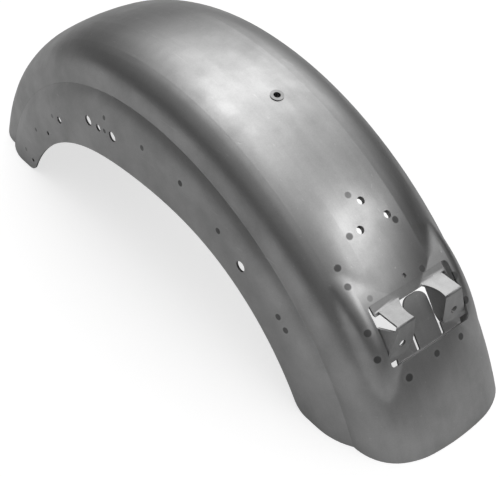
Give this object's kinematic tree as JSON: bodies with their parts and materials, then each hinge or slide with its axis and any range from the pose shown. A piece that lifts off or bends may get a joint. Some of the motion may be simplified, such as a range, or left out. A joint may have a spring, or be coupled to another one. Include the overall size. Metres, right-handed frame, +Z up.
{
  "type": "motorcycle rear fender",
  "caption": "Arched bare steel rear fender for a motorcycle, with flat skirts drilled for struts and an opening with a folded bracket for a tail light.",
  "frame": {"origin": "on the floor, below the middle of the arch", "axes": "+Z up, +X to the tail, +Y to the rider's right"},
  "size_m": [0.6502, 0.1708, 0.2295],
  "materials": {
    "bare_steel": "bare sheet steel, as pressed, with light scratches",
    "bracket_steel": "bare folded sheet steel",
    "zinc_steel": "plain turned steel insert"
  },
  "bodies": {
    "root": {"fender_shell": "bare_steel", "left_skirt_rail": "bare_steel", "right_skirt_rail": "bare_steel", "rack_plate": "bare_steel", "seat_nut": "zinc_steel", "tail_light_bracket": "bracket_steel"}
  },
  "joints": []
}
